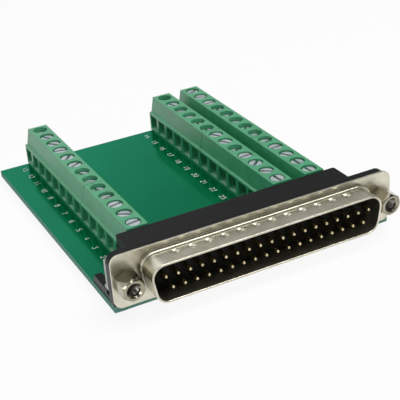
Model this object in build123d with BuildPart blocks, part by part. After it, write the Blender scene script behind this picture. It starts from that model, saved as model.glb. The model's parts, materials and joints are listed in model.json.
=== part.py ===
from build123d import *
import math
import os

# 37-way D-sub plug on a screw-terminal breakout board
#
# Lengths are in millimetres. +X runs along the plug, +Y goes from the plug to the
# rear edge of the board and +Z is up. Z = 0 is where the trimmed solder tails
# rest, and X = Y = 0 is the middle of the whole assembly seen from above.

# Jackscrew spacing, which is the plug's standard size. The pieces at the plug's two
# ends reach outwards from the jackscrews' axes by the margins below.
jack_spacing = 63.5

# Printed circuit board
board_margin = 2.8
board_thickness = 1.6
tail_length = 1.6  # solder tails below the board
hole_clearance = 0.12  # radial, between a tail and its plated hole

# Plug shell, drawn from one steel sheet
flange_margin = 2.91
flange_height = 12.55
flange_corner = 2.0
flange_sheet = 0.5
wall_sheet = 0.5
plug_side_gap = 4.04  # from a jackscrew's axis to the plug's inside
plug_inside_height = 8.36
plug_corner = 2.6
plug_side_angle = 10.0
shell_projection = 5.9
rim_round = 0.2
bead_step = 0.45
bead_depth = 1.1
bead_round = 0.35
dimple_count = 12
dimple_end_gap = 6.645  # from the plug's inside to the last dimple's centre
dimple_reach = 2.46  # from the flange's front face to the dimples' centres
dimple_radius = 1.6
dimple_depth = 0.35
dimple_sheet = 0.3

# Contact pins
upper_pins = 19
lower_pins = 18
pin_end_gap = 2.78  # from the plug's inside to the last upper pin's axis
pin_row_spacing = 2.84
pin_diameter = 1.0
pin_nose_length = 0.9
pin_nose_taper = 0.2
pin_tip_round = 0.28
pin_tip_setback = 0.2  # behind the shell's rim
pin_tail_diameter = 0.76
pin_bend_radius = 1.0
lower_tail_reach = 7.0  # from the flange's front face to the nearer tail row
tail_row_spacing = 2.84
pin_clearance = 0.03

# Plug insulator, in front, and rear housing, behind the steel flange
insulator_rise = 0.8
insulator_seat = 1.0
insulator_clearance = 0.05
axis_above_board = 5.8
plate_margin = 2.84
plate_above_axis = 6.1
plate_thickness = 2.3
plate_corner = 2.5
body_side_wall = 0.4  # beyond the plug's inside
body_above_axis = 3.5
body_back_gap = 3.06  # from the further tail row to the body's back
body_corner = 0.6
body_wall = 1.2
body_roof = 1.5
rail_margin = 2.68
rail_thickness = 1.8
rail_height = 2.1
rail_reach = 12.3
rail_step_reach = 4.5
rail_step_height = 1.2
rail_end_cut = 0.8
rail_slit = 0.25
rail_slit_depth = 1.0

# Jackscrews, mounting straps and clinch nuts
jack_sides = 6
jack_across_flats = 4.76
jack_length = 4.7
jack_chamfer = 0.5
jack_bore_radius = 1.42
jack_bore_depth = 4.2
jack_mouth_chamfer = 0.35
stud_radius = 1.42
stud_clearance = 0.1
strap_sheet = 1.0
strap_outer_margin = 2.87
strap_inner_margin = 2.65
strap_above_axis = 4.2
strap_shoulder = 3.0  # below the plug's axis, where the strap narrows
strap_neck_inset = 2.1
strap_tail_width = 1.6
strap_tab_width = 1.0
strap_tab_height = 0.7
strap_tab_reach = 0.9
nut_radius = 2.3
nut_length = 1.0
nut_fit = 0.03

# Terminal housings, seen from the wire side
terminal_pitch = 5.0
ways = 13
outer_rear_ways = 8  # ways of the outer rows' rear housings
middle_rear_ways = 6  # ways of the middle row's rear housing
block_gap = 0.2  # between the plug's body and the front housings
joint_gap = 0.2  # between two housings of a row
block_overhang = 0.6  # beyond the rear edge of the board
left_label_margin = 7.95  # board edge to the first row's wire side
right_label_margin = 7.65  # board edge to the third row's wire side
rear_gap = 1.85  # between the backs of the two right-hand rows
block_height = 9.5
block_wire_reach = 4.0
block_rear_reach = 3.4
block_top_half = 2.55
ledge_height = 5.25
ledge_rise = 0.2
ledge_reach = 3.35
rear_shoulder = 5.4
entry_sill = 0.7
entry_sill_inside = 1.6
entry_roof_gap = 0.2  # below the clamp's bridge
way_width = 3.7
cavity_front_reach = 2.7
cavity_rear_reach = 2.6
housing_roof = 3.3
screw_shaft_radius = 1.85

# Wire clamps, bent from brass strip, and their slotted screws
clamp_length = 4.2
clamp_width = 3.4
clamp_top_gap = 0.2
clamp_wall = 0.4
clamp_floor = 1.3
clamp_bridge = 1.1
clamp_tail_diameter = 1.0
screw_head_radius = 1.72
screw_head_height = 1.3
screw_head_chamfer = 0.12
screw_radius = 1.22
screw_floor_gap = 0.8  # above the clamp's floor, with the screw driven deepest
deepest_drive = 2.1  # of a screw's head below the housing's top
screw_point_chamfer = 0.3
screw_fit = 0.05
slot_width = 0.75
slot_depth = 0.9

# Each screw's slot direction in degrees and how far its head has been driven below
# the housing's top. Every list runs from the rear edge of the board to the plug.
row_1_slots = (20, -61, -47, -11, 50, 29, -69, -32, -75, 15, 13, -32, 10)
row_2_slots = (60, -74, -40, -20, 70, 75, -62, -58, 40, 5, 44, -35, -87)
row_3_slots = (31, -35, -6, 70, 20, -45, 60, 24, 4, 3, -59, -88, -85)
row_1_depths = (1.3, 0.45, 0.4, 0.25, 0.35, 0.35, 0.9, 1.0, 0.95, 0.75, 0.25, 0.4, 0.15)
row_2_depths = (1.3, 0.5, 1.0, 0.95, 1.05, 1.05, 0.35, 0.35, 1.1, 0.25, 0.3, 0.35, 0.1)
row_3_depths = (0.4, 0.3, 0.35, 0.95, 1.05, 1.1, 1.05, 1.05, 0.85, 0.3, 0.4, 0.45, 0.45)

# Levels and places that follow from the sizes above
board_bottom = tail_length
board_top = board_bottom + board_thickness
axis_z = board_top + axis_above_board
board_width = jack_spacing + 2 * board_margin
flange_width = jack_spacing + 2 * flange_margin
plate_width = jack_spacing + 2 * plate_margin
rail_outer_width = jack_spacing + 2 * rail_margin
plug_inside_width = jack_spacing - 2 * plug_side_gap
pin_pitch = (plug_inside_width - 2 * pin_end_gap) / (upper_pins - 1)
dimple_spacing = (plug_inside_width - 2 * dimple_end_gap) / (dimple_count - 1)
body_width = plug_inside_width + 2 * body_side_wall
body_reach = lower_tail_reach + tail_row_spacing + body_back_gap
blocks_reach = body_reach + block_gap + ways * terminal_pitch
flange_front = (shell_projection - blocks_reach) / 2
flange_back = flange_front + flange_sheet
plate_back = flange_back + plate_thickness
body_back = flange_front + body_reach
blocks_back = flange_front + blocks_reach
board_front = flange_back + hole_clearance
board_back = blocks_back - block_overhang
strap_back = plate_back + strap_sheet
insulator_back = flange_back + insulator_seat
first_screw_y = blocks_back - terminal_pitch / 2
jack_places = (-jack_spacing / 2, jack_spacing / 2)
upper_pin_xs = [(i - (upper_pins - 1) / 2) * pin_pitch for i in range(upper_pins)]
lower_pin_xs = [(i - (lower_pins - 1) / 2) * pin_pitch for i in range(lower_pins)]
lower_tail_y = flange_front + lower_tail_reach
upper_tail_y = lower_tail_y + tail_row_spacing
row_1_x = left_label_margin + block_wire_reach - board_width / 2
row_3_x = board_width / 2 - right_label_margin - block_wire_reach
row_2_x = row_3_x - 2 * block_rear_reach - rear_gap
cavity_height = block_height - housing_roof
clamp_height = cavity_height - clamp_top_gap
entry_roof = clamp_height - clamp_bridge - entry_roof_gap
drive_length = block_height - deepest_drive - clamp_floor - screw_floor_gap
screw_length = drive_length - screw_head_height  # under the head

# Each row's place, the side its wires enter, its rear housing's ways and its numbers
rows = {
    "row_1": (row_1_x, -1, outer_rear_ways, range(ways, 0, -1)),
    "row_2": (row_2_x, -1, middle_rear_ways, range(ways + 1, 2 * ways + 1)),
    "row_3": (row_3_x, 1, outer_rear_ways, range(3 * ways, 2 * ways, -1)),
}

os.makedirs("parts", exist_ok=True)


def plug_plane(y, x=0.0):
    """Upright plane on the plug's axis that faces the mating side."""
    return Plane(origin=(x, y, axis_z), x_dir=(1, 0, 0), z_dir=(0, -1, 0))


def board_plane(y, x=0.0):
    """Upright plane that stands on the board and faces the mating side."""
    return Plane(origin=(x, y, board_top), x_dir=(1, 0, 0), z_dir=(0, -1, 0))


def way_ys(row_back, count):
    """Y of each way's centre, from a row's or a housing's rear end."""
    return [row_back - (i + 0.5) * terminal_pitch for i in range(count)]


def d_profile(grow):
    """D-shaped face, wide edge on top, grown outwards from the plug's inside."""
    slope = math.radians(plug_side_angle)
    width = plug_inside_width + 2 * grow
    height = plug_inside_height + 2 * grow
    radius = plug_corner + grow
    half_top = width / 2 + radius * (math.tan(slope) + 1 / math.cos(slope) - 1)
    half_bottom = half_top - height * math.tan(slope)
    with BuildSketch() as profile:
        with BuildLine():
            Polyline(
                (-half_top, height / 2),
                (half_top, height / 2),
                (half_bottom, -height / 2),
                (-half_bottom, -height / 2),
                close=True,
            )
        make_face()
        fillet(profile.vertices(), radius)
    return profile.sketch


def save(part, name):
    """Label a finished piece and write it under its own name."""
    part.label = name
    export_step(part, f"parts/{name}.step")


# Printed circuit board, drilled for every tail
with BuildPart() as printed_circuit_board:
    with BuildSketch(Plane.XY.offset(board_bottom)):
        with Locations((0, (board_front + board_back) / 2)):
            Rectangle(board_width, board_back - board_front)
        with Locations([(x, upper_tail_y) for x in upper_pin_xs]):
            Circle(pin_tail_diameter / 2 + hole_clearance, mode=Mode.SUBTRACT)
        with Locations([(x, lower_tail_y) for x in lower_pin_xs]):
            Circle(pin_tail_diameter / 2 + hole_clearance, mode=Mode.SUBTRACT)
        for row_x, wire_side, rear_ways, numbers in rows.values():
            with Locations([(row_x, y) for y in way_ys(blocks_back, ways)]):
                Circle(clamp_tail_diameter / 2 + hole_clearance, mode=Mode.SUBTRACT)
        with Locations([(x, plate_back + strap_sheet / 2) for x in jack_places]):
            Rectangle(
                strap_tail_width + 2 * hole_clearance,
                strap_sheet + 2 * hole_clearance,
                mode=Mode.SUBTRACT,
            )
    extrude(amount=board_thickness)
save(printed_circuit_board.part, "printed_circuit_board")

# Steel that one dimple pushes into the plug: the part of a ball below the wall's top
with BuildPart() as dimple_bulge:
    bulge_radius = dimple_radius + dimple_sheet
    Sphere(bulge_radius)
    with Locations((0, 0, dimple_depth - dimple_radius)):
        Box(
            2 * bulge_radius,
            2 * bulge_radius,
            2 * bulge_radius,
            align=(Align.CENTER, Align.CENTER, Align.MIN),
            mode=Mode.SUBTRACT,
        )

# Plug shell: flange, rounded bead at the foot of the wall, wall and dimples
with BuildPart() as plug_shell:
    with BuildSketch(plug_plane(flange_back)):
        RectangleRounded(flange_width, flange_height, flange_corner)
        with Locations([(x, 0) for x in jack_places]):
            Circle(stud_radius + stud_clearance, mode=Mode.SUBTRACT)
    extrude(amount=flange_sheet)
    with BuildSketch(plug_plane(flange_front)):
        add(d_profile(wall_sheet + bead_step))
    extrude(amount=bead_depth)
    bead_face = plug_shell.faces().filter_by(Axis.Y).sort_by(Axis.Y)[0]
    fillet(bead_face.edges(), bead_round)
    with BuildSketch(plug_plane(flange_front)):
        add(d_profile(wall_sheet))
    extrude(amount=shell_projection)
    with BuildSketch(plug_plane(flange_back)):
        add(d_profile(0))
    extrude(amount=flange_sheet + shell_projection, mode=Mode.SUBTRACT)
    rim_face = plug_shell.faces().filter_by(Axis.Y).sort_by(Axis.Y)[0]
    fillet(rim_face.edges(), rim_round)
    wall_top = axis_z + plug_inside_height / 2 + wall_sheet
    dimple_centre_z = wall_top - dimple_depth + dimple_radius
    dimple_row = GridLocations(dimple_spacing, 1, dimple_count, 1).locations
    dimple_places = [
        (place.position.X, flange_front - dimple_reach, dimple_centre_z)
        for place in dimple_row
    ]
    with Locations(dimple_places):
        add(dimple_bulge.part)
    with Locations(dimple_places):
        Sphere(dimple_radius, mode=Mode.SUBTRACT)
save(plug_shell.part, "plug_shell")

# Plug insulator, which holds the pins inside the shell
with BuildPart() as plug_insulator:
    with BuildSketch(plug_plane(insulator_back)):
        add(d_profile(-insulator_clearance))
        with Locations([(x, pin_row_spacing / 2) for x in upper_pin_xs]):
            Circle(pin_diameter / 2 + pin_clearance, mode=Mode.SUBTRACT)
        with Locations([(x, -pin_row_spacing / 2) for x in lower_pin_xs]):
            Circle(pin_diameter / 2 + pin_clearance, mode=Mode.SUBTRACT)
    extrude(amount=insulator_seat + flange_sheet + insulator_rise)
save(plug_insulator.part, "plug_insulator")


def tail_run(height, tail_y, radius):
    """Round bar from the insulator's back, bent down to the ends of the tails."""
    with BuildPart() as run:
        with BuildLine() as path:
            FilletPolyline(
                (0, insulator_back, height),
                (0, tail_y, height),
                (0, tail_y, 0),
                radius=pin_bend_radius,
            )
        with BuildSketch(Plane(origin=path.line @ 0, z_dir=path.line % 0)):
            Circle(radius)
        sweep()
    return run.part


def contact_pin(height, tail_y):
    """One contact: a round-nosed pin in front and a thinner bent tail behind."""
    with BuildPart() as pin:
        with BuildSketch(plug_plane(insulator_back)):
            with Locations((0, height - axis_z)):
                Circle(pin_diameter / 2)
        extrude(amount=insulator_back - flange_front + shell_projection - pin_tip_setback)
        nose = pin.faces().sort_by(Axis.Y)[0]
        chamfer(nose.edges(), pin_nose_length, pin_nose_taper)
        tip = pin.faces().sort_by(Axis.Y)[0]
        fillet(tip.edges(), pin_tip_round)
        add(tail_run(height, tail_y, pin_tail_diameter / 2))
    return pin.part


# Contact pins, one node for each row of the plug
pin_rows = {
    "upper_contact_pins": (upper_pin_xs, axis_z + pin_row_spacing / 2, upper_tail_y),
    "lower_contact_pins": (lower_pin_xs, axis_z - pin_row_spacing / 2, lower_tail_y),
}
for name, (pin_xs, height, tail_y) in pin_rows.items():
    with BuildPart() as contact_pins:
        with Locations([(x, 0, 0) for x in pin_xs]):
            add(contact_pin(height, tail_y))
    save(contact_pins.part, name)

# Rear housing: plate behind the flange, body over the bent tails, two end rails
with BuildPart() as rear_housing:
    plate_height = axis_above_board + plate_above_axis
    with BuildSketch(board_plane(flange_back)):
        with Locations((0, plate_height / 2)):
            plate = Rectangle(plate_width, plate_height)
        fillet(plate.vertices().group_by(Axis.Y)[-1], plate_corner)
    extrude(amount=-plate_thickness)
    with BuildSketch(Plane.XY.offset(board_top)):
        with Locations((0, (plate_back + body_back) / 2)):
            body = Rectangle(body_width, body_back - plate_back)
        fillet(body.vertices().group_by(Axis.Y)[-1], body_corner)
    extrude(amount=axis_above_board + body_above_axis)
    for side in (-1, 1):
        outer = side * rail_outer_width / 2
        inner = outer - side * rail_thickness
        rail_back = flange_front + rail_reach
        step_y = flange_front + rail_step_reach
        rail_section = Plane(origin=(inner, 0, board_top), x_dir=(0, 1, 0), z_dir=(1, 0, 0))
        with BuildSketch(rail_section):
            with BuildLine():
                Polyline(
                    (flange_back, 0),
                    (flange_back, rail_step_height),
                    (step_y, rail_step_height),
                    (step_y, rail_height),
                    (rail_back - rail_end_cut, rail_height),
                    (rail_back, 0),
                    close=True,
                )
            make_face()
        extrude(amount=outer - inner)
        slit_outer = side * max(rail_outer_width, plate_width) / 2
        slit_plane = Plane(origin=(slit_outer, 0, board_top), x_dir=(0, 1, 0), z_dir=(side, 0, 0))
        with BuildSketch(slit_plane):
            slit_middle = (flange_back + plate_back) / 2
            slit_z = rail_step_height + rail_slit / 2
            with Locations((slit_middle, slit_z)):
                Rectangle(plate_thickness, rail_slit)
        extrude(amount=-rail_slit_depth, mode=Mode.SUBTRACT)
    with BuildSketch(plug_plane(insulator_back)):
        add(d_profile(0))
    extrude(amount=insulator_seat, mode=Mode.SUBTRACT)
    with BuildSketch(plug_plane(plate_back)):
        with Locations([(x, 0) for x in jack_places]):
            Circle(stud_radius + stud_clearance)
    extrude(amount=plate_thickness, mode=Mode.SUBTRACT)
    with BuildSketch(plug_plane(plate_back)):
        for pin_xs, height, tail_y in pin_rows.values():
            with Locations([(x, height - axis_z) for x in pin_xs]):
                Circle(pin_tail_diameter / 2 + pin_clearance)
    extrude(amount=plate_back - insulator_back, mode=Mode.SUBTRACT)
    cavity_back = body_back - body_wall
    with BuildSketch(Plane.XY.offset(board_top)):
        with Locations((0, (plate_back + cavity_back) / 2)):
            Rectangle(body_width - 2 * body_wall, cavity_back - plate_back)
    extrude(amount=axis_above_board + body_above_axis - body_roof, mode=Mode.SUBTRACT)
save(rear_housing.part, "rear_housing")

# Mounting straps, one behind each end of the plate, soldered into the board
for side, name in ((-1, "left_mounting_strap"), (1, "right_mounting_strap")):
    with BuildPart() as mounting_strap:
        outer = side * (jack_spacing / 2 + strap_outer_margin)
        inner = side * (jack_spacing / 2 - strap_inner_margin)
        neck = outer - side * strap_neck_inset
        tail_x = side * jack_spacing / 2
        with BuildSketch(plug_plane(strap_back)):
            with BuildLine():
                Polyline(
                    (outer, strap_above_axis),
                    (outer, -strap_shoulder),
                    (neck, -strap_shoulder),
                    (neck, -axis_above_board),
                    (inner, -axis_above_board),
                    (inner, strap_above_axis),
                    close=True,
                )
            make_face()
            with Locations((tail_x, 0)):
                Circle(stud_radius + stud_clearance, mode=Mode.SUBTRACT)
            with Locations((tail_x, -(axis_above_board + axis_z) / 2)):
                Rectangle(strap_tail_width, axis_z - axis_above_board)
        extrude(amount=strap_sheet)
        with BuildSketch(plug_plane(strap_back)):
            tab_x = outer - side * strap_tab_width / 2
            with Locations((tab_x, -strap_shoulder + strap_tab_height / 2)):
                Rectangle(strap_tab_width, strap_tab_height)
        extrude(amount=-strap_tab_reach)
    save(mounting_strap.part, name)

# Clinch nuts on the backs of the straps
with BuildPart() as clinch_nuts:
    with BuildSketch(plug_plane(strap_back)):
        with Locations([(x, 0) for x in jack_places]):
            Circle(nut_radius)
            Circle(stud_radius + nut_fit, mode=Mode.SUBTRACT)
    extrude(amount=-nut_length)
save(clinch_nuts.part, "clinch_nuts")

# Jackscrews: hexagonal female heads whose studs reach through to the nuts
for side, name in ((-1, "left_jackscrew"), (1, "right_jackscrew")):
    with BuildPart() as jackscrew:
        jack_x = side * jack_spacing / 2
        jack_front = flange_front - jack_length
        corner = jack_across_flats / 2 / math.cos(math.pi / jack_sides)
        with BuildSketch(plug_plane(flange_front, jack_x)):
            flat_half = jack_across_flats / 2
            half_turn = 180 / jack_sides
            RegularPolygon(flat_half, jack_sides, major_radius=False, rotation=half_turn)
        extrude(amount=jack_length)
        turned = Plane(origin=(jack_x, flange_front, axis_z), x_dir=(1, 0, 0), z_dir=(0, 0, 1))
        with BuildSketch(turned):
            with BuildLine():
                Polyline(
                    (0, 0),
                    (corner, 0),
                    (corner, -jack_length + jack_chamfer),
                    (corner - jack_chamfer, -jack_length),
                    (0, -jack_length),
                    close=True,
                )
            make_face()
        revolve(axis=Axis((jack_x, flange_front, axis_z), (0, 1, 0)), mode=Mode.INTERSECT)
        with BuildSketch(plug_plane(flange_front, jack_x)):
            Circle(stud_radius)
        extrude(amount=-(strap_back + nut_length - flange_front))
        with BuildSketch(plug_plane(jack_front, jack_x)):
            Circle(jack_bore_radius)
        extrude(amount=-jack_bore_depth, mode=Mode.SUBTRACT)
        mouth = jackscrew.edges().filter_by(GeomType.CIRCLE).group_by(Axis.Y)[0]
        chamfer(mouth.sort_by(SortBy.RADIUS)[0], jack_mouth_chamfer)
    save(jackscrew.part, name)


def terminal_housing(row_x, side, back, count):
    """One moulded housing: a stepped wire side, a raked top, pockets and shafts."""
    length = count * terminal_pitch - joint_gap
    with BuildPart() as housing:
        with BuildSketch(board_plane(back, row_x)):
            with BuildLine():
                Polyline(
                    (side * block_wire_reach, 0),
                    (side * block_wire_reach, ledge_height),
                    (side * ledge_reach, ledge_height + ledge_rise),
                    (side * block_top_half, block_height),
                    (-side * block_top_half, block_height),
                    (-side * block_rear_reach, rear_shoulder),
                    (-side * block_rear_reach, 0),
                    close=True,
                )
            make_face()
        extrude(amount=length)
        for y in way_ys(back, count):
            with BuildSketch(board_plane(y, row_x)):
                with BuildLine():
                    Polyline(
                        (side * block_wire_reach, entry_sill),
                        (side * cavity_front_reach, entry_sill_inside),
                        (side * cavity_front_reach, 0),
                        (-side * cavity_rear_reach, 0),
                        (-side * cavity_rear_reach, cavity_height),
                        (side * cavity_front_reach, cavity_height),
                        (side * cavity_front_reach, entry_roof),
                        (side * block_wire_reach, entry_roof),
                        close=True,
                    )
                make_face()
            extrude(amount=way_width / 2, both=True, mode=Mode.SUBTRACT)
        with BuildSketch(Plane.XY.offset(board_top + block_height)):
            with Locations([(row_x, y) for y in way_ys(back, count)]):
                Circle(screw_shaft_radius)
        extrude(amount=cavity_height - block_height, mode=Mode.SUBTRACT)
    return housing.part


# Terminal housings, two end to end in each row
for row_name, (row_x, wire_side, rear_ways, numbers) in rows.items():
    front_back = blocks_back - rear_ways * terminal_pitch
    rear_block = terminal_housing(row_x, wire_side, blocks_back, rear_ways)
    front_block = terminal_housing(row_x, wire_side, front_back, ways - rear_ways)
    save(rear_block, f"{row_name}_rear_housing")
    save(front_block, f"{row_name}_front_housing")

# Wire clamps: a box with a window, a threaded bridge on top and a tail below
with BuildPart() as wire_clamp:
    with BuildSketch(Plane.XY.offset(board_top)):
        Rectangle(clamp_length, clamp_width)
    extrude(amount=clamp_height)
    window_height = clamp_height - clamp_floor - clamp_bridge
    with BuildSketch(Plane.YZ):
        with Locations((0, board_top + clamp_floor + window_height / 2)):
            Rectangle(clamp_width - 2 * clamp_wall, window_height)
    extrude(amount=clamp_length, both=True, mode=Mode.SUBTRACT)
    with BuildSketch(Plane.XY.offset(board_top + clamp_height)):
        Circle(screw_radius + screw_fit)
    extrude(amount=-clamp_bridge, mode=Mode.SUBTRACT)
    with BuildSketch(Plane.XY.offset(board_top)):
        Circle(clamp_tail_diameter / 2)
    extrude(amount=-board_top)

for row_name, (row_x, wire_side, rear_ways, numbers) in rows.items():
    with BuildPart() as wire_clamps:
        with Locations([(row_x, y, 0) for y in way_ys(blocks_back, ways)]):
            add(wire_clamp.part)
    save(wire_clamps.part, f"{row_name}_wire_clamps")


def terminal_screw(x, y, head_top, slot_angle):
    """Slotted screw, its slot turned to the angle it was left at."""
    with BuildPart() as screw:
        with BuildSketch(Plane.XY.offset(head_top)):
            with Locations((x, y)):
                Circle(screw_head_radius)
        extrude(amount=-screw_head_height)
        chamfer(screw.edges().group_by(Axis.Z)[-1], screw_head_chamfer)
        with BuildSketch(Plane.XY.offset(head_top - screw_head_height)):
            with Locations((x, y)):
                Circle(screw_radius)
        extrude(amount=-screw_length)
        chamfer(screw.edges().group_by(Axis.Z)[0], screw_point_chamfer)
        with BuildSketch(Plane.XY.offset(head_top)):
            with Locations(Location((x, y, 0), (0, 0, slot_angle))):
                Rectangle(2 * (screw_head_radius + slot_width), slot_width)
        extrude(amount=-slot_depth, mode=Mode.SUBTRACT)
    return screw.part


# Terminal screws, one node each because each turns by itself
driven = {
    "row_1": zip(way_ys(blocks_back, ways), row_1_slots, row_1_depths),
    "row_2": zip(way_ys(blocks_back, ways), row_2_slots, row_2_depths),
    "row_3": zip(way_ys(blocks_back, ways), row_3_slots, row_3_depths),
}
for row_name, (row_x, wire_side, rear_ways, numbers) in rows.items():
    for number, (y, slot_angle, depth) in zip(numbers, driven[row_name]):
        head_top = board_top + block_height - depth
        save(terminal_screw(row_x, y, head_top, slot_angle), f"terminal_screw_{number:02d}")
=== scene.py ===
# %% [markdown]
# # A D-sub plug on a screw terminal breakout board
#
# The object is a green circuit board. A right-angle plug with 37 pins sits along its
# front edge, and three rows of screw terminals bring each pin out to a loose wire.
# Its solids were made in CAD, so this lesson never moves or reshapes them. It adds the
# light, the finish of every surface, and the small things that are too fine for the
# solids: solder, printed numbers and screw threads.

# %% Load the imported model
import json
import math

import bpy
from mathutils import Matrix, Vector


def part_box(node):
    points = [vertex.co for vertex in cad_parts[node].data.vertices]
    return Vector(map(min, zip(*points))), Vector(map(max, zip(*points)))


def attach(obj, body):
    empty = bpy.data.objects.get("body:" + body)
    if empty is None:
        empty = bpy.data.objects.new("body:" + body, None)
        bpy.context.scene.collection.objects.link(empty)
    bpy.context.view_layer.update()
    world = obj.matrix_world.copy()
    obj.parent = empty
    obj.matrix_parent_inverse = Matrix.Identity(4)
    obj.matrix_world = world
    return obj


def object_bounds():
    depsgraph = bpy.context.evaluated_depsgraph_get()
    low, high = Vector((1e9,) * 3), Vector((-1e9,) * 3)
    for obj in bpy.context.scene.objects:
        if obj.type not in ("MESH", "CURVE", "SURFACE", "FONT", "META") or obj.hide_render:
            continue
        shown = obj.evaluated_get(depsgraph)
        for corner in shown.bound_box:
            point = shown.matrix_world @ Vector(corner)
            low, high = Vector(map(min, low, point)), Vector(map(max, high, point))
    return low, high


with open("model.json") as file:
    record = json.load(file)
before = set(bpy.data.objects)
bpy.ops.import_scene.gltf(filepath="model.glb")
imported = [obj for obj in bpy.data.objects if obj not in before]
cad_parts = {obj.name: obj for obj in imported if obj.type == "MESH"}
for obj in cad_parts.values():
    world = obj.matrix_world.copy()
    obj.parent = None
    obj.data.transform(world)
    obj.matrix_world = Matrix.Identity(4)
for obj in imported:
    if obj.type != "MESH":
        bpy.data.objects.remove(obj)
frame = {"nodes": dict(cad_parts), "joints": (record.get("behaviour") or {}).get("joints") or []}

cad_low, cad_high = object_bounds()
NODES = frame["nodes"]
BOARD = "breakout_board"
print("CAD box in mm:", [round(1000 * side, 2) for side in cad_high - cad_low])

# %% [markdown]
# ## Real sizes
#
# Blender works in metres here, and a connector is measured in millimetres, so every
# length goes through one constant. The same constant turns the real size of a pattern,
# such as a grain or a weave, into the scale that a texture node wants, which is how
# often the pattern repeats in one metre.

# %% Lengths and pattern scales
MM = 0.001


def per_metre(size_mm):
    """The scale of a texture whose features are this many millimetres apart."""
    return 1 / (size_mm * MM)


WAVE_PERIOD = math.pi / 10  # the distance between two bands of a wave texture of scale 1


# %% [markdown]
# ## Colours
#
# A colour picked by eye from a swatch is an sRGB colour, but light adds up in linear
# values. One function does the change for the whole file, so that every finish can be
# written as the familiar hex value.

# %% Hex colours to linear light
def linear(hex_colour):
    """An sRGB colour such as "#1F7A4D" as linear red, green, blue and alpha."""
    channels = [int(hex_colour[i:i + 2], 16) / 255 for i in (1, 3, 5)]
    return [c / 12.92 if c <= 0.04045 else ((c + 0.055) / 1.055) ** 2.4 for c in channels] + [1]


print("Mid grey is", round(linear("#808080")[0], 3), "in linear light")

# %% [markdown]
# ## Building materials from nodes
#
# A procedural material is a small machine of nodes. Writing `nodes.new`, setting its
# options and linking its sockets takes many lines, so one function does all three. It
# takes the node's inputs, then its options, and an input is either a plain value or
# the output of an earlier node.

# %% One function that adds a node
def add_node(tree, kind, inputs=None, **options):
    """Adds a node, sets its options, and fills its inputs with values or links."""
    made = tree.nodes.new(kind)
    for name, value in options.items():
        setattr(made, name, value)
    for name, value in (inputs or {}).items():
        if isinstance(value, bpy.types.NodeSocket):
            tree.links.new(value, made.inputs[name])
        else:
            made.inputs[name].default_value = value
    return made


def new_surface(name, roughness, metallic=0.0):
    """A material with its node tree, its shader and the object's own coordinates."""
    material = bpy.data.materials.new(name)
    material.use_nodes = True
    tree = material.node_tree
    shader = tree.nodes["Principled BSDF"]
    shader.inputs["Roughness"].default_value = roughness
    shader.inputs["Metallic"].default_value = metallic
    place = add_node(tree, "ShaderNodeTexCoord").outputs["Object"]
    return material, tree, shader, place


# %% [markdown]
# ## The camera
#
# A product photograph of something this small is taken with a long lens from about a
# quarter of a metre away. A plug of this kind has standard sizes, so its camera can be
# worked out: points on the plug, the board and the terminals were matched to a
# photograph, to about one pixel in 400. The camera is turned a few degrees about its
# own axis, because the board was not level in the picture.

# %% Camera from its place and its three turns
CAMERA_PLACE = Vector((-93.26, -202.60, 119.98)) * MM
CAMERA_AZIMUTH = math.radians(-25.60)
CAMERA_ELEVATION = math.radians(27.92)
CAMERA_ROLL = math.radians(-4.32)
CAMERA_LENS = 91.60

flat_right = Vector((math.cos(CAMERA_AZIMUTH), math.sin(CAMERA_AZIMUTH), 0))
backwards = Vector((
    math.sin(CAMERA_AZIMUTH) * math.cos(CAMERA_ELEVATION),
    -math.cos(CAMERA_AZIMUTH) * math.cos(CAMERA_ELEVATION),
    math.sin(CAMERA_ELEVATION),
))
flat_up = backwards.cross(flat_right)
right = math.cos(CAMERA_ROLL) * flat_right + math.sin(CAMERA_ROLL) * flat_up
up = backwards.cross(right)

camera = bpy.data.objects.new("camera", bpy.data.cameras.new("camera"))
bpy.context.scene.collection.objects.link(camera)
turned = Matrix((right, up, backwards)).transposed().to_4x4()
camera.matrix_world = Matrix.Translation(CAMERA_PLACE) @ turned
camera.data.lens = CAMERA_LENS
camera.data.clip_start = 10 * MM
bpy.context.scene.camera = camera
distance = (CAMERA_PLACE - Vector((0, cad_low.y, 0))).length
print("Camera distance to the plug:", round(distance / MM), "mm")

# %% [markdown]
# ## Floor and light
#
# The studio is a white table under one wide soft lamp, which hangs over the object, a
# little to its right and in front. The tops are bright then, and the sides are shaded.
# A weak lamp behind lifts the rear edges, and a tall narrow one on the left stands for
# a window. The table reads as white because most of what the camera and the metal see
# of it is plain white light, while the rest is a pale surface that keeps the object's
# shadow. Seen from below, the table is clear, and a faint glow under it lights the
# solder side.

# %% Floor
scene = bpy.context.scene
scene.view_settings.view_transform = "Standard"
WHITE_SHARE = 0.90
TABLE_REACH = 3  # metres from the middle to each edge

sides = ((-1, -1), (1, -1), (1, 1), (-1, 1))
corners = [(x * TABLE_REACH, y * TABLE_REACH, 0) for x, y in sides]
floor_mesh = bpy.data.meshes.new("floor")
floor_mesh.from_pydata(corners, [], [(0, 1, 2, 3)])
floor = bpy.data.objects.new("floor", floor_mesh)
scene.collection.objects.link(floor)

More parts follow.
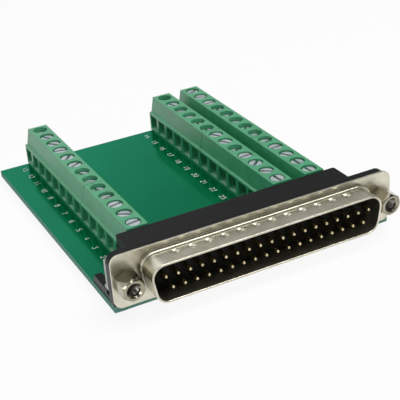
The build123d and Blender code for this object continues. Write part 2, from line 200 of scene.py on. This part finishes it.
paper = bpy.data.materials.new("matt white table paper")
paper.use_nodes = True
tree = paper.node_tree
tree.nodes.clear()
ray = add_node(tree, "ShaderNodeLightPath")
side = add_node(tree, "ShaderNodeNewGeometry")
pale = add_node(tree, "ShaderNodeBsdfDiffuse", {"Color": linear("#F0F0F0")})
white = add_node(tree, "ShaderNodeEmission", {"Color": (1, 1, 1, 1), "Strength": 1.0})
seen = add_node(
    tree, "ShaderNodeMath",
    {0: ray.outputs["Is Camera Ray"], 1: ray.outputs["Is Glossy Ray"]},
    operation="MAXIMUM",
)
seen = add_node(
    tree, "ShaderNodeMath",
    {0: seen.outputs[0], 1: ray.outputs["Is Transmission Ray"]},
    operation="MAXIMUM",
)
share = add_node(tree, "ShaderNodeMath", {0: seen.outputs[0], 1: WHITE_SHARE}, operation="MULTIPLY")
lit = add_node(
    tree, "ShaderNodeMixShader", {"Fac": share.outputs[0], 1: pale.outputs[0], 2: white.outputs[0]}
)
clear = add_node(tree, "ShaderNodeBsdfTransparent")
below = add_node(
    tree, "ShaderNodeMath",
    {0: side.outputs["Backfacing"], 1: ray.outputs["Is Shadow Ray"]},
    operation="MAXIMUM",
)
table = add_node(
    tree, "ShaderNodeMixShader", {"Fac": below.outputs[0], 1: lit.outputs[0], 2: clear.outputs[0]}
)
add_node(tree, "ShaderNodeOutputMaterial", {"Surface": table.outputs[0]})
floor.data.materials.append(paper)
print("Plain white in what the camera sees of the table:", WHITE_SHARE)

# %% [markdown]
# What a shiny surface mirrors matters more than the lamps. The camera sees a white
# backdrop everywhere. Reflections see it too, but only low down behind the object and
# more to its left, as on a real paper sweep. To the right, above and in front the room is
# dimmer, which keeps the housing black and gives the metal its dark sides.

# %% World: a white sweep in a dark room
ROOM_IN_FRONT = 0.35
ROOM_ABOVE_SWEEP = 0.45
CEILING = 0.45
SWEEP_TILT = 2.0
AMBIENT = 0.24
SWEEP_TOP = (1.0, 1.25)      # Z plus tilt where the sweep starts to fade, and where it is gone
CEILING_EDGE = (0.52, 0.66)  # Z where the ceiling starts, and where it is whole
SWEEP_FRONT = (-0.3, 0.3)    # Y where the sweep starts, and where it is whole

world = bpy.data.worlds.new("white sweep in a dark room")
scene.world = world
world.use_nodes = True
tree = world.node_tree
tree.nodes.clear()
ray = add_node(tree, "ShaderNodeLightPath")
look = add_node(tree, "ShaderNodeTexCoord")
look = add_node(tree, "ShaderNodeSeparateXYZ", {"Vector": look.outputs["Generated"]})
tilt = add_node(tree, "ShaderNodeMath", {0: look.outputs["X"], 1: SWEEP_TILT}, operation="MULTIPLY")
tilted = add_node(
    tree, "ShaderNodeMath", {0: look.outputs["Z"], 1: tilt.outputs[0]}, operation="ADD"
)
height = add_node(
    tree, "ShaderNodeMapRange",
    {
        "Value": tilted.outputs[0], "From Min": SWEEP_TOP[0], "From Max": SWEEP_TOP[1],
        "To Min": 1.0, "To Max": ROOM_ABOVE_SWEEP,
    },
)
ceiling = add_node(
    tree, "ShaderNodeMapRange",
    {
        "Value": look.outputs["Z"], "From Min": CEILING_EDGE[0], "From Max": CEILING_EDGE[1],
        "To Min": 1.0, "To Max": CEILING,
    },
)
behind = add_node(
    tree, "ShaderNodeMapRange",
    {
        "Value": look.outputs["Y"], "From Min": SWEEP_FRONT[0], "From Max": SWEEP_FRONT[1],
        "To Min": ROOM_IN_FRONT, "To Max": 1.0,
    },
)
room = add_node(
    tree, "ShaderNodeMath", {0: height.outputs[0], 1: behind.outputs[0]}, operation="MULTIPLY"
)
room = add_node(
    tree, "ShaderNodeMath", {0: room.outputs[0], 1: ceiling.outputs[0]}, operation="MULTIPLY"
)
ambient = add_node(tree, "ShaderNodeBackground", {"Color": (1, 1, 1, 1), "Strength": AMBIENT})
mirrored = add_node(
    tree, "ShaderNodeBackground", {"Color": (1, 1, 1, 1), "Strength": room.outputs[0]}
)
white = add_node(tree, "ShaderNodeBackground", {"Color": (1, 1, 1, 1), "Strength": 1.0})
unlit = add_node(
    tree, "ShaderNodeMixShader",
    {"Fac": ray.outputs["Is Glossy Ray"], 1: ambient.outputs[0], 2: mirrored.outputs[0]},
)
seen = add_node(
    tree, "ShaderNodeMath",
    {0: ray.outputs["Is Camera Ray"], 1: ray.outputs["Is Transmission Ray"]},
    operation="MAXIMUM",
)
both = add_node(
    tree, "ShaderNodeMixShader", {"Fac": seen.outputs[0], 1: unlit.outputs[0], 2: white.outputs[0]}
)
add_node(tree, "ShaderNodeOutputWorld", {"Surface": both.outputs[0]})
print("Brightness of the mirrored room in front:", ROOM_IN_FRONT)


# %% Lamps
def soft_lamp(name, place, width, height, watts):
    """A rectangular lamp that faces the middle of the object."""
    lamp = bpy.data.objects.new(name, bpy.data.lights.new(name, "AREA"))
    lamp.data.shape = "RECTANGLE"
    lamp.data.size = width
    lamp.data.size_y = height
    lamp.data.energy = watts
    lamp.location = place
    lamp.rotation_mode = "QUATERNION"
    aim = Vector(place) - (cad_low + cad_high) / 2
    lamp.rotation_quaternion = aim.to_track_quat("Z", "Y")
    scene.collection.objects.link(lamp)
    print(name, "hangs", round(aim.length, 2), "m away")


soft_lamp("main softbox", (0.12, -0.20, 0.57), width=0.52, height=0.26, watts=2.9)
soft_lamp("rear softbox", (-0.10, 0.32, 0.52), width=0.30, height=0.30, watts=0.3)
soft_lamp("left window", (-0.44, -0.34, 0.17), width=0.10, height=0.26, watts=0.35)
soft_lamp("table glow", (0.0, 0.0, -0.50), width=0.50, height=0.50, watts=0.6)

# %% [markdown]
# ## Moulded plastic
#
# The terminal housings are polyamide 66 and the plug's housing is glass-filled
# polyester. Both are injection moulded in steel tools whose walls were roughened by
# spark erosion. That leaves a fine even grain, a satin sheen, and edges rounded by a
# tenth of a millimetre, which catch a thin line of light. The grain could be real
# displacement, but a bump does the same for far less geometry. It is drawn a quarter of
# a millimetre wide, coarser than it is, because the true one would vanish in the render.

# %% A function for both moulded plastics
PATCH_MM = 4.0
WORN_SPREAD = (0.12, 0.40)  # pattern with the plain colour alone, and with the worn one
SATIN_CHANGE = 0.06


def moulded_plastic(
    name, colour, worn_colour, roughness, shine, grain_mm, grain_height_mm, edge_mm,
):
    """Satin plastic from a spark-eroded mould, a little uneven in tone and gloss."""
    material, tree, shader, place = new_surface(name, roughness)
    shader.inputs["Specular IOR Level"].default_value = shine
    tone = add_node(
        tree, "ShaderNodeTexNoise", {"Vector": place, "Scale": per_metre(PATCH_MM), "Detail": 4.0}
    )
    speck = add_node(
        tree, "ShaderNodeTexNoise", {"Vector": place, "Scale": per_metre(grain_mm), "Detail": 2.0}
    )
    both = add_node(
        tree, "ShaderNodeMath",
        {0: tone.outputs["Fac"], 1: speck.outputs["Fac"]},
        operation="MULTIPLY",
    )
    ramp = add_node(
        tree, "ShaderNodeMapRange",
        {"Value": both.outputs[0], "From Min": WORN_SPREAD[0], "From Max": WORN_SPREAD[1]},
    )
    colour_mix = add_node(
        tree, "ShaderNodeMix",
        {"Factor": ramp.outputs[0], "A": linear(colour), "B": linear(worn_colour)},
        data_type="RGBA",
    )
    gloss = add_node(
        tree, "ShaderNodeMapRange",
        {
            "Value": tone.outputs["Fac"], "To Min": roughness - SATIN_CHANGE,
            "To Max": roughness + SATIN_CHANGE,
        },
    )
    rounded = add_node(tree, "ShaderNodeBevel", {"Radius": edge_mm * MM}, samples=4)
    grain = add_node(
        tree, "ShaderNodeBump",
        {
            "Height": speck.outputs["Fac"], "Distance": grain_height_mm * MM, "Strength": 0.8,
            "Normal": rounded.outputs[0],
        },
    )
    tree.links.new(colour_mix.outputs["Result"], shader.inputs["Base Color"])
    tree.links.new(gloss.outputs[0], shader.inputs["Roughness"])
    tree.links.new(grain.outputs[0], shader.inputs["Normal"])
    return material


GREEN_POLYAMIDE = moulded_plastic(
    "green moulded polyamide 66", "#2F8F5E", "#43A678", roughness=0.38, shine=1.0, grain_mm=0.25,
    grain_height_mm=0.02, edge_mm=0.12,
)
BLACK_POLYESTER = moulded_plastic(
    "black moulded polyester", "#070808", "#0D0E0E", roughness=0.34, shine=0.12, grain_mm=0.25,
    grain_height_mm=0.02, edge_mm=0.12,
)
print("Moulded plastics:", GREEN_POLYAMIDE.name, "and", BLACK_POLYESTER.name)

# %% [markdown]
# ## Solder mask over glass-epoxy board
#
# The board is woven glass cloth in epoxy. Its two faces carry a film of green solder
# mask, cured to a gloss, through which the weave shows as a faint grid. The flatter the
# view, the more the film mirrors, which is what a Fresnel node works out. A real film
# mirrors without any tint. The green tint of this one is a stand-in, chosen because it
# comes closer to the colour of the board in a flat view. Beside each row of terminals
# the film mirrors their shaded sides, which helps to make a dark strip there.
# The weave is drawn a little coarser than the usual one, so that it shows. The cut
# edges have no mask and show the pale laminate. One material can do both, because a
# face that points sideways must be a cut edge.

# %% Board material
WEAVE_MM = 0.9
WEAVE_STRENGTH = 0.25
FLOW_MM = 12.0
RELIEF_MM = 0.004
PLY_MM = 0.4
FILM_ROUGHNESS = 0.10
CUT_ROUGHNESS = 0.75
EPOXY_IOR = 1.55
SIDEWAYS = 0.5  # a normal's upward share, under which its face is a cut edge
BOARD_GREEN = "#016239"
BOARD_SHADE = "#01502D"
VARNISH = "#68FFD4"
LAMINATE = "#7FA99C"
LAMINATE_SHADE = "#5F8F85"

SOLDER_MASK, tree, shader, place = new_surface("glossy green solder mask on FR4", FILM_ROUGHNESS)
shader.inputs["Specular IOR Level"].default_value = 0.0
warp = add_node(
    tree, "ShaderNodeTexWave",
    {"Vector": place, "Scale": WAVE_PERIOD * per_metre(WEAVE_MM)},
    bands_direction="X",
)
weft = add_node(
    tree, "ShaderNodeTexWave",
    {"Vector": place, "Scale": WAVE_PERIOD * per_metre(WEAVE_MM)},
    bands_direction="Y",
)
cloth = add_node(
    tree, "ShaderNodeMath", {0: warp.outputs["Fac"], 1: weft.outputs["Fac"]}, operation="MULTIPLY"
)
flow = add_node(
    tree, "ShaderNodeTexNoise", {"Vector": place, "Scale": per_metre(FLOW_MM), "Detail": 3.0}
)
shade = add_node(
    tree, "ShaderNodeMath", {0: cloth.outputs[0], 1: WEAVE_STRENGTH}, operation="MULTIPLY"
)
shade = add_node(
    tree, "ShaderNodeMath", {0: shade.outputs[0], 1: flow.outputs["Fac"]}, operation="ADD"
)
mask_colour = add_node(
    tree, "ShaderNodeMix",
    {"Factor": shade.outputs[0], "A": linear(BOARD_SHADE), "B": linear(BOARD_GREEN)},
    data_type="RGBA",
)
geometry = add_node(tree, "ShaderNodeNewGeometry")
direction = add_node(tree, "ShaderNodeSeparateXYZ", {"Vector": geometry.outputs["Normal"]})
steepness = add_node(tree, "ShaderNodeMath", {0: direction.outputs["Z"]}, operation="ABSOLUTE")
cut_edge = add_node(
    tree, "ShaderNodeMath", {0: steepness.outputs[0], 1: SIDEWAYS}, operation="LESS_THAN"
)
plies = add_node(
    tree, "ShaderNodeTexWave",
    {"Vector": place, "Scale": WAVE_PERIOD * per_metre(PLY_MM), "Distortion": 2.0},
    bands_direction="Z",
)
ply_colour = add_node(
    tree, "ShaderNodeMix",
    {"Factor": plies.outputs["Fac"], "A": linear(LAMINATE_SHADE), "B": linear(LAMINATE)},
    data_type="RGBA",
)
board_colour = add_node(
    tree, "ShaderNodeMix",
    {
        "Factor": cut_edge.outputs[0], "A": mask_colour.outputs["Result"],
        "B": ply_colour.outputs["Result"],
    },
    data_type="RGBA",
)
board_gloss = add_node(
    tree, "ShaderNodeMapRange",
    {"Value": cut_edge.outputs[0], "To Min": FILM_ROUGHNESS, "To Max": CUT_ROUGHNESS},
)
relief = add_node(
    tree, "ShaderNodeBump",
    {"Height": shade.outputs[0], "Distance": RELIEF_MM * MM, "Strength": 0.5},
)
tree.links.new(board_colour.outputs["Result"], shader.inputs["Base Color"])
tree.links.new(board_gloss.outputs[0], shader.inputs["Roughness"])
tree.links.new(relief.outputs[0], shader.inputs["Normal"])
varnish = add_node(
    tree, "ShaderNodeBsdfGlossy",
    {"Color": linear(VARNISH), "Roughness": FILM_ROUGHNESS, "Normal": relief.outputs[0]},
)
grazing = add_node(tree, "ShaderNodeFresnel", {"IOR": EPOXY_IOR})
uncut = add_node(tree, "ShaderNodeMath", {0: 1.0, 1: cut_edge.outputs[0]}, operation="SUBTRACT")
film = add_node(
    tree, "ShaderNodeMath", {0: grazing.outputs[0], 1: uncut.outputs[0]}, operation="MULTIPLY"
)
coated = add_node(
    tree, "ShaderNodeMixShader",
    {"Fac": film.outputs[0], 1: shader.outputs[0], 2: varnish.outputs[0]},
)
tree.links.new(coated.outputs[0], tree.nodes["Material Output"].inputs["Surface"])
print("Weave drawn every", WEAVE_MM, "mm")

# %% [markdown]
# ## Metals
#
# The shell is steel sheet drawn in a press and plated with tin, so it is a warm white
# with faint draw lines. The jackscrews and nuts are turned and nickel plated. The ridge
# of their cut threads is a darker steel colour, which paints the shade inside the bore.
# The terminal screws are zinc plated and passivated, which is greyer and a little blue.
# They are made only half metallic, as a stand-in for the dull film over their plating.
# The contacts are brass under gold. All of these differ in colour, in roughness and in
# the direction of their tool marks, so one function takes those three. It can also
# darken places that see little of the room, which an Ambient Occlusion node finds. In
# the slots of the screws that darkening is painted shade. In the corner between the
# shell's wall and its flange it is a painted dark reflection, a stand-in for the dark
# that a sharper mirror would show there.

# %% A function for plated metals
# The colour that painted shade in hollows and corners darkens towards.
PAINTED_SHADE_COLOUR = "#141513"
CLOUD_MM = 3.0
TARNISH_SPREAD = (0.35, 0.65)
MARK_CHANGE = 0.08
PAINTED_SHADE_SPREAD = (0.35, 0.85)  # openness with full painted shade, and with none


def plated_metal(
    name, colour, tarnish, roughness, mark_mm, mark_height_mm, stretch=(1, 1, 1), edge_mm=0.08,
    metallic=1.0, painted_shade=0.0, painted_shade_mm=0.8,
):
    """Plated metal with tool marks that can be stretched, and painted shade in its corners."""
    material, tree, shader, place = new_surface(name, roughness, metallic)
    stretched = add_node(tree, "ShaderNodeMapping", {"Vector": place, "Scale": stretch})
    marks = add_node(
        tree, "ShaderNodeTexNoise",
        {"Vector": stretched.outputs[0], "Scale": per_metre(mark_mm), "Detail": 3.0},
    )
    cloud = add_node(
        tree, "ShaderNodeTexNoise", {"Vector": place, "Scale": per_metre(CLOUD_MM), "Detail": 3.0}
    )
    tone = add_node(
        tree, "ShaderNodeMapRange",
        {
            "Value": cloud.outputs["Fac"], "From Min": TARNISH_SPREAD[0],
            "From Max": TARNISH_SPREAD[1],
        },
    )
    colour_mix = add_node(
        tree, "ShaderNodeMix",
        {"Factor": tone.outputs[0], "A": linear(colour), "B": linear(tarnish)},
        data_type="RGBA",
    )
    # Where an Ambient Occlusion node finds little of the room, the colour is darkened: painted
    # shade.
    openness = add_node(tree, "ShaderNodeAmbientOcclusion", {"Distance": painted_shade_mm * MM}, samples=8)
    painted_shade_share = add_node(
        tree, "ShaderNodeMapRange",
        {
            "Value": openness.outputs["AO"], "From Min": PAINTED_SHADE_SPREAD[0],
            "From Max": PAINTED_SHADE_SPREAD[1], "To Min": painted_shade, "To Max": 0.0,
        },
    )
    colour_mix = add_node(
        tree, "ShaderNodeMix",
        {"Factor": painted_shade_share.outputs[0], "A": colour_mix.outputs["Result"], "B": linear(PAINTED_SHADE_COLOUR)},
        data_type="RGBA",
    )
    gloss = add_node(
        tree, "ShaderNodeMapRange",
        {
            "Value": marks.outputs["Fac"], "To Min": roughness - MARK_CHANGE,
            "To Max": roughness + MARK_CHANGE,
        },
    )
    rounded = add_node(tree, "ShaderNodeBevel", {"Radius": edge_mm * MM}, samples=4)
    relief = add_node(
        tree, "ShaderNodeBump",
        {
            "Height": marks.outputs["Fac"], "Distance": mark_height_mm * MM, "Strength": 0.6,
            "Normal": rounded.outputs[0],
        },
    )
    tree.links.new(colour_mix.outputs["Result"], shader.inputs["Base Color"])
    tree.links.new(gloss.outputs[0], shader.inputs["Roughness"])
    tree.links.new(relief.outputs[0], shader.inputs["Normal"])
    return material


# The darkening set here paints a dark reflection into the corner between the shell's wall and its
# flange.
TINNED_STEEL = plated_metal(
    "tin plated drawn steel", "#DEDAC8", "#CAC6B3", roughness=0.31, mark_mm=0.5,
    mark_height_mm=0.004, stretch=(0.1, 1, 1), painted_shade=0.6, painted_shade_mm=2.5,
)
STRAP_STEEL = plated_metal(
    "tin plated stamped steel", "#A2A9A0", "#8B918A", roughness=0.36, mark_mm=0.4,
    mark_height_mm=0.006,
)
NICKEL = plated_metal(
    "nickel plated turned steel", "#AFAA98", "#948E7B", roughness=0.15, mark_mm=0.3,
    mark_height_mm=0.004, stretch=(1, 0.2, 1),
)
# The thread is drawn in darker steel than the nickel round it: painted shade inside the bore.
THREAD_STEEL_PAINTED_DARK = plated_metal(
    "cut thread steel, darkened as painted shade", "#94918A", "#787670", roughness=0.20, mark_mm=0.3,
    mark_height_mm=0.006, edge_mm=0.03,
)
# The darkening set here paints shade into the slots of the screws.
ZINC = plated_metal(
    "zinc plated and passivated steel", "#D0DADD", "#B4BFC3", roughness=0.42, mark_mm=0.25,
    mark_height_mm=0.01, metallic=0.5, painted_shade=1.0, painted_shade_mm=0.6,
)
GOLD = plated_metal(
    "gold plated brass", "#D8CCA6", "#BDB08A", roughness=0.18, mark_mm=0.3, mark_height_mm=0.003,
    edge_mm=0.03,
)
TINNED_BRASS = plated_metal(
    "tin plated brass strip", "#BDB8AC", "#A39E90", roughness=0.38, mark_mm=0.3,
    mark_height_mm=0.006,
)
SOLDER = plated_metal(
    "tin solder, cooled from liquid", "#C6C7C8", "#AEB0B2", roughness=0.28, mark_mm=0.6,
    mark_height_mm=0.02, edge_mm=0.03,
)
METALS = (TINNED_STEEL, STRAP_STEEL, NICKEL, THREAD_STEEL_PAINTED_DARK, ZINC, GOLD, TINNED_BRASS, SOLDER)
print("Metals made:", len(METALS))

# %% [markdown]
# ## Screen printing ink
#
# The numbers beside the terminals are epoxy ink pushed through a mesh. It lies a few
# hundredths of a millimetre thick on the mask, is nearly white, and is slightly patchy,
# because the mesh lets a little less ink through in places.

# %% Ink material
MESH_MM = 0.3
INK, tree, shader, place = new_surface("white screen printed epoxy ink", roughness=0.55)
mesh_print = add_node(
    tree, "ShaderNodeTexNoise", {"Vector": place, "Scale": per_metre(MESH_MM), "Detail": 2.0}
)
ink_colour = add_node(
    tree, "ShaderNodeMix",
    {"Factor": mesh_print.outputs["Fac"], "A": linear("#E4EEE6"), "B": linear("#FAFDFA")},
    data_type="RGBA",
)
tree.links.new(ink_colour.outputs["Result"], shader.inputs["Base Color"])
print("Ink made:", INK.name)

# %% [markdown]
# ## Dressing the solids
#
# The solids keep their shapes and only change their material. Their names say what
# they are, so a short list of words to look for is enough to give each its finish. The
# order counts, because the rear housing of a terminal row would otherwise be taken for
# the black one of the plug.

# %% Give each solid its finish
FINISHES = {
    "printed_circuit_board": SOLDER_MASK,
    "plug_shell": TINNED_STEEL,
    "plug_insulator": BLACK_POLYESTER,
    "contact_pins": GOLD,
    "mounting_strap": STRAP_STEEL,
    "clinch_nuts": NICKEL,
    "jackscrew": NICKEL,
    "wire_clamps": TINNED_BRASS,
    "terminal_screw": ZINC,
    "row_": GREEN_POLYAMIDE,
    "rear_housing": BLACK_POLYESTER,
}


def finish_of(name):
    """The finish of a solid, by the first words in the list that its name holds."""
    return next(finish for words, finish in FINISHES.items() if words in name)


for name, solid in NODES.items():
    solid.data.materials.clear()
    solid.data.materials.append(finish_of(name))
print("Solids dressed:", len(NODES))

# %% [markdown]
# ## Terminal numbers
#
# A circuit board's lettering is drawn by a plotter with a round pen, so each digit is a
# few strokes of one width. Most fonts have thick and thin parts that such a print lacks.
# Here each stroke is a curve with a round bevel, sunk into the board so that only the
# top of the ink line shows. The print was spaced a little closer than the terminals,
# so the rear number sits a millimetre nearer the plug than its terminal does, and the
# last one is about level with its own.

# %% Pen strokes of the characters, on a grid four wide and six high
STROKES = {
    "0": [[(0, 1), (0, 5), (1, 6), (3, 6), (4, 5), (4, 1), (3, 0), (1, 0), (0, 1)]],
    "1": [[(1, 5), (2, 6), (2, 0)]],
    "2": [[(0, 5), (1, 6), (3, 6), (4, 5), (4, 4), (0, 0), (4, 0)]],
    "3": [[(0, 6), (4, 6), (2, 3.6), (3, 3.6), (4, 2.6), (4, 1), (3, 0), (1, 0), (0, 1)]],
    "4": [[(3, 0), (3, 6), (0, 2), (4, 2)]],
    "5": [[(4, 6), (0, 6), (0, 3.4), (3, 3.4), (4, 2.6), (4, 1), (3, 0), (0, 0)]],
    "6": [
        [(3.5, 6), (1.5, 6), (0, 4), (0, 1), (1, 0), (3, 0), (4, 1), (4, 2.4), (3, 3.4), (0, 3.4)]
    ],
    "7": [[(0, 6), (4, 6), (1.2, 0)]],
    "8": [[(1, 3.2), (0, 4), (0, 5), (1, 6), (3, 6), (4, 5), (4, 4), (3, 3.2), (1, 3.2)],
          [(1, 3.2), (0, 2.4), (0, 1), (1, 0), (3, 0), (4, 1), (4, 2.4), (3, 3.2)]],
    "9": [
        [(0.5, 0), (2.5, 0), (4, 2), (4, 5), (3, 6), (1, 6), (0, 5), (0, 3.6), (1, 2.6), (4, 2.6)]
    ],
    "G": [[(4, 5), (3, 6), (1, 6), (0, 5), (0, 1), (1, 0), (3, 0), (4, 1), (4, 3), (2.5, 3)]],
}
GRID_WIDE, GRID_HIGH = 4, 6
CHARACTER_HEIGHT = 1.25 * MM
CHARACTER_STEP = 1.15 * MM
PEN_WIDTH = 0.20 * MM
SUNK = 0.3  # how far the middle of a line lies under the board's face, in pen widths
board_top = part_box("printed_circuit_board")[1].z

numbers = bpy.data.curves.new("terminal_numbers", "CURVE")
numbers.dimensions = "3D"
numbers.bevel_depth = PEN_WIDTH / 2
numbers.bevel_resolution = 2
numbers.use_fill_caps = True


def print_word(word, x, y):
    """Writes a word that reads towards the plug, the tops of its characters towards +X."""
    grid = CHARACTER_HEIGHT / GRID_HIGH
    width = (len(word) - 1) * CHARACTER_STEP + GRID_WIDE * grid
    height = board_top - SUNK * PEN_WIDTH
    for i, character in enumerate(word):
        for stroke in STROKES[character]:
            line = numbers.splines.new("POLY")
            line.points.add(len(stroke) - 1)
            for point, (across, above) in zip(line.points, stroke):
                along = i * CHARACTER_STEP + across * grid - width / 2
                point.co = (x + (above - GRID_HIGH / 2) * grid, y - along, height, 1)


# %% Write a number beside each terminal
TERMINAL_PITCH = 5.0 * MM
LABEL_SHIFT = 1.1 * MM    # towards the plug, at the rear terminal
LABEL_CREEP = 0.105 * MM  # towards the rear edge, added at each terminal
LABEL_X = {"row_1": -28.65 * MM, "row_2": 7.3 * MM, "row_3": 29.0 * MM}
LAST_OF_ROW_1, LAST_OF_ROW_2, LAST_PIN = 13, 26, 37
screw_places = {}
for joint in frame["joints"]:
    number = int(joint["child"].split("_")[-1])
    screw_places[number] = Vector(joint["pos_m"])
for number, place_of_screw in screw_places.items():
    if number <= LAST_OF_ROW_1:
        row = "row_1"
    elif number <= LAST_OF_ROW_2:
        row = "row_2"
    else:
        row = "row_3"
    word = str(number) if number <= LAST_PIN else "G"
    ways_from_rear = (screw_places[LAST_OF_ROW_1].y - place_of_screw.y) / TERMINAL_PITCH
    print_word(word, LABEL_X[row], place_of_screw.y - LABEL_SHIFT + LABEL_CREEP * ways_from_rear)
numbers.materials.append(INK)
terminal_numbers = bpy.data.objects.new("terminal_numbers", numbers)
scene.collection.objects.link(terminal_numbers)
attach(terminal_numbers, BOARD)
print("Numbers printed:", len(screw_places), "from", len(numbers.splines), "strokes")

# %% [markdown]
# ## Solder joints
#
# Every tail that comes through the board is soldered below it. Melted solder wets the
# round pad and climbs the tail, and its surface cools as a hollow cone, wide at the
# pad and thin at the tail. A profile turned round each tail gives exactly that. The
# joints of the pins are one piece and those of the clamps another, since the joints of
# a kind share one profile and never move apart.

# %% A helper that turns a profile round many places
def turned_piece(name, places, profile, steps, finish):
    """One mesh with the profile, given as radius and height, turned round each place."""
    points, faces = [], []
    for x, y in places:
        start = len(points)
        for radius, height in profile:
            for i in range(steps):
                angle = 2 * math.pi * i / steps
                points.append((x + radius * math.cos(angle), y + radius * math.sin(angle), height))
        for ring in range(len(profile) - 1):
            for i in range(steps):
                a, b = start + ring * steps + i, start + ring * steps + (i + 1) % steps
                faces.append((a, b, b + steps, a + steps))
        faces.append(tuple(start + i for i in reversed(range(steps))))
        last = start + (len(profile) - 1) * steps
        faces.append(tuple(last + i for i in range(steps)))
    mesh = bpy.data.meshes.new(name)
    mesh.from_pydata(points, [], faces)
    mesh.validate()
    for face in mesh.polygons:
        face.use_smooth = len(face.vertices) == 4
    mesh.materials.append(finish)
    piece = bpy.data.objects.new(name, mesh)
    scene.collection.objects.link(piece)
    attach(piece, BOARD)
    return piece


# %% Where the tails come through the board
board_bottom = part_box("printed_circuit_board")[0].z
PIN_PITCH = 2.77 * MM
PIN_TAIL_RADIUS = 0.38 * MM
UPPER_PINS, LOWER_PINS = 19, 18
upper_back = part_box("upper_contact_pins")[1].y - PIN_TAIL_RADIUS
lower_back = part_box("lower_contact_pins")[1].y - PIN_TAIL_RADIUS
pin_tails = []
for pins, back in ((UPPER_PINS, upper_back), (LOWER_PINS, lower_back)):
    pin_tails += [((i - (pins - 1) / 2) * PIN_PITCH, back) for i in range(pins)]
clamp_tails = [(place_of_screw.x, place_of_screw.y) for place_of_screw in screw_places.values()]

FILLET_RINGS = 7
HOLLOWNESS = 2.2  # 1 would be a straight cone
PAD_SUNK = 0.01 * MM
PAD_THICKNESS = 0.02 * MM


def fillet_profile(pad_radius, tail_radius, climb):
    """Radius and height down a hollow cone of solder, from the pad to the tail."""
    profile = [(pad_radius, board_bottom + PAD_SUNK)]
    for i in range(FILLET_RINGS):
        down = i / (FILLET_RINGS - 1)
        radius = tail_radius + (pad_radius - tail_radius) * (1 - down) ** HOLLOWNESS
        profile.append((radius, board_bottom - PAD_THICKNESS - climb * down))
    return profile


pin_fillet = fillet_profile(pad_radius=0.85 * MM, tail_radius=0.42 * MM, climb=0.9 * MM)
clamp_fillet = fillet_profile(pad_radius=1.35 * MM, tail_radius=0.56 * MM, climb=1.0 * MM)
small_joints = turned_piece("pin_solder", pin_tails, pin_fillet, steps=20, finish=SOLDER)
large_joints = turned_piece("clamp_solder", clamp_tails, clamp_fillet, steps=24, finish=SOLDER)
print("Solder joints:", len(pin_tails) + len(clamp_tails))

# %% [markdown]
# ## Threads inside the jackscrews
#
# A jackscrew's bore is threaded for the screw of the other plug. The solid has a plain
# bore as wide as the thread's roots, so a ridge that winds along the wall stands for the
# thread. It has the real pitch of 0.635 mm and a triangular section, a little blunter
# than the real one. Its flanks catch light and dark in turn, which is what makes a
# thread show as rings.

# %% Ridge of the inner thread
THREAD_PITCH = 0.635 * MM
FIRST_TURN = 0.7 * MM
TURNS = 5
STEPS_PER_TURN = 32
FLANKS = (  # distance from the axis in mm, and place along it as a share of the pitch
    ((1.44, -0.5), (1.14, -0.06)),
    ((1.14, -0.06), (1.14, 0.06)),
    ((1.14, 0.06), (1.44, 0.5)),
)


def thread_ridge(name, jackscrew):
    """A triangular ridge that winds along the bore of a jackscrew."""
    low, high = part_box(jackscrew)
    centre = (low + high) / 2
    points, faces = [], []
    for flank in FLANKS:
        for i in range(TURNS * STEPS_PER_TURN + 1):
            angle = 2 * math.pi * i / STEPS_PER_TURN
            y = low.y + FIRST_TURN + THREAD_PITCH * i / STEPS_PER_TURN
            for radius, share_of_pitch in flank:
                x = centre.x + radius * MM * math.cos(angle)
                z = centre.z + radius * MM * math.sin(angle)
                points.append((x, y + share_of_pitch * THREAD_PITCH, z))
            if i > 0:
                a = len(points) - 4
                faces.append((a + 2, a + 3, a + 1, a))
    mesh = bpy.data.meshes.new(name)
    mesh.from_pydata(points, [], faces)
    mesh.validate()
    for face in mesh.polygons:
        face.use_smooth = True
    # The thread's darker steel paints the shade inside the bore.
    mesh.materials.append(THREAD_STEEL_PAINTED_DARK)
    ridge = bpy.data.objects.new(name, mesh)
    scene.collection.objects.link(ridge)
    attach(ridge, BOARD)


thread_ridge("left_thread", "left_jackscrew")
thread_ridge("right_thread", "right_jackscrew")
print("Turns of thread in each jackscrew:", TURNS)
